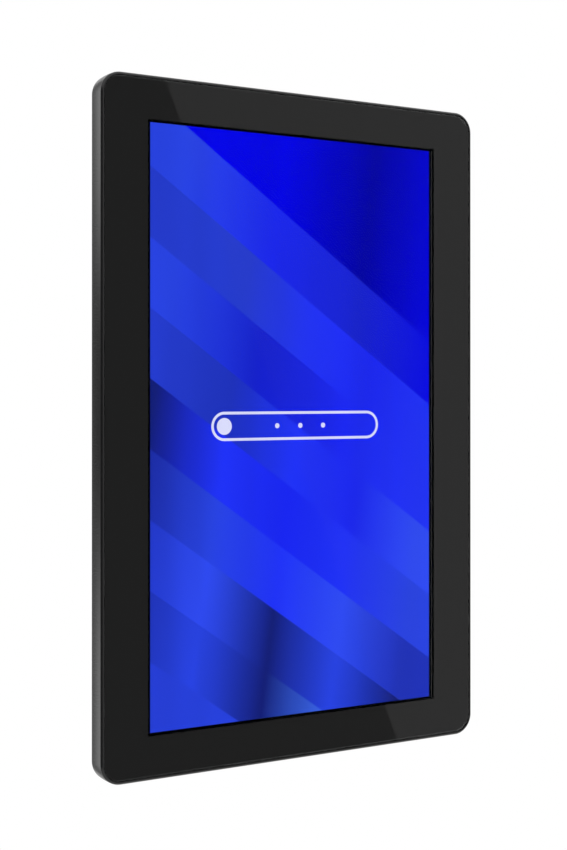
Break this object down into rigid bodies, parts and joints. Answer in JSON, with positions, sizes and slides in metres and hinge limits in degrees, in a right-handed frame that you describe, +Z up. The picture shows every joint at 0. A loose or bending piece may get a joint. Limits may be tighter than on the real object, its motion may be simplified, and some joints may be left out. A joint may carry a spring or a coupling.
{
  "type": "wall-mounted touchscreen display",
  "caption": "Slim upright touchscreen with edge-to-edge glass, a bevelled black frame, a sloping rear cover with a socket bay, side push buttons and a wall-bracket bolt pattern.",
  "frame": {"origin": "centre of the wall-bracket bolt pattern, on the flat back face that meets the bracket", "axes": "+X across the screen to the viewer's right, +Y out of the back towards the wall (the screen looks along -Y), +Z up"},
  "size_m": [0.2574, 0.038, 0.3958],
  "materials": {
    "frame_plastic": "satin black moulded ring",
    "cover_plastic": "fine textured black moulding",
    "button_plastic": "satin black",
    "clear_glass": "polished tempered glass",
    "black_print": "opaque screen-printed border",
    "foam": "closed-cell foam",
    "clear_film": "clear touch film",
    "panel_glass": "display cell, lit from behind",
    "sheet_steel": "zinc-coated pressed steel",
    "plated_steel": "nickel-plated steel",
    "black_steel": "black oxide",
    "light_plastic": "white moulded plastic",
    "optical_sheet": "white diffusing sheet",
    "acrylic": "clear acrylic",
    "circuit_board": "green solder mask",
    "chip_plastic": "black moulded chip",
    "heat_sink_alu": "anodised extrusion",
    "thermal_rubber": "soft grey pad",
    "connector_plastic": "black moulded connector",
    "cell_steel": "coin cell can",
    "flex": "amber flexible circuit",
    "wire_jacket": "black wire jacket",
    "speaker_plastic": "black speaker box"
  },
  "bodies": {
    "display": {"front_frame": "frame_plastic", "cover_glass": "clear_glass", "border_print": "black_print", "glass_tape": "foam", "touch_sensor": "clear_film", "touch_tail": "flex", "panel_gasket": "foam", "lcd_bezel": "black_steel", "lcd_cell": "panel_glass", "panel_carrier": "light_plastic", "diffuser_sheets": "optical_sheet", "light_guide": "acrylic", "reflector_sheet": "optical_sheet", "led_bar": "circuit_board", "module_back_plate": "sheet_steel", "panel_driver_board": "circuit_board", "panel_screws": "black_steel", "chassis_plate": "sheet_steel", "chassis_screws": "black_steel", "wall_pillars": "plated_steel", "board_standoffs": "plated_steel", "cover_posts": "plated_steel", "main_board": "circuit_board", "board_screws": "plated_steel", "processor": "chip_plastic", "thermal_pad": "thermal_rubber", "heat_sink": "heat_sink_alu", "heat_sink_screws": "plated_steel", "memory_chips": "chip_plastic", "wireless_module": "sheet_steel", "coin_cell": "cell_steel", "coin_holder": "connector_plastic", "board_headers": "light_plastic", "dc_jack": "connector_plastic", "usb_c_socket": "plated_steel", "video_socket": "plated_steel", "usb_a_sockets": "plated_steel", "network_socket": "plated_steel", "socket_plate": "sheet_steel", "audio_jack": "connector_plastic", "touch_board": "circuit_board", "touch_cable": "wire_jacket", "display_cable": "flex", "speaker_leads": "wire_jacket", "button_board": "circuit_board", "button_switches": "connector_plastic", "button_screws": "black_steel", "button_cable": "flex", "rear_cover": "cover_plastic", "cover_screws": "black_steel", "speaker_gaskets": "foam", "speaker_left": "speaker_plastic", "speaker_right": "speaker_plastic", "speaker_screws": "black_steel", "antennas": "circuit_board", "antenna_leads": "wire_jacket"},
    "volume_down_button": {"volume_down_button": "button_plastic"},
    "volume_up_button": {"volume_up_button": "button_plastic"},
    "power_button": {"power_button": "button_plastic"}
  },
  "joints": [
    {"name": "volume_down_button_press", "type": "slide", "parent": "display", "child": "volume_down_button", "axis": [-1, 0, 0], "range_m": [0, 0.0006], "stiffness_N_per_m": 2500, "springref_m": -0.0002},
    {"name": "volume_up_button_press", "type": "slide", "parent": "display", "child": "volume_up_button", "axis": [-1, 0, 0], "range_m": [0, 0.0006], "stiffness_N_per_m": 2500, "springref_m": -0.0002},
    {"name": "power_button_press", "type": "slide", "parent": "display", "child": "power_button", "axis": [-1, 0, 0], "range_m": [0, 0.0006], "stiffness_N_per_m": 2500, "springref_m": -0.0002}
  ]
}
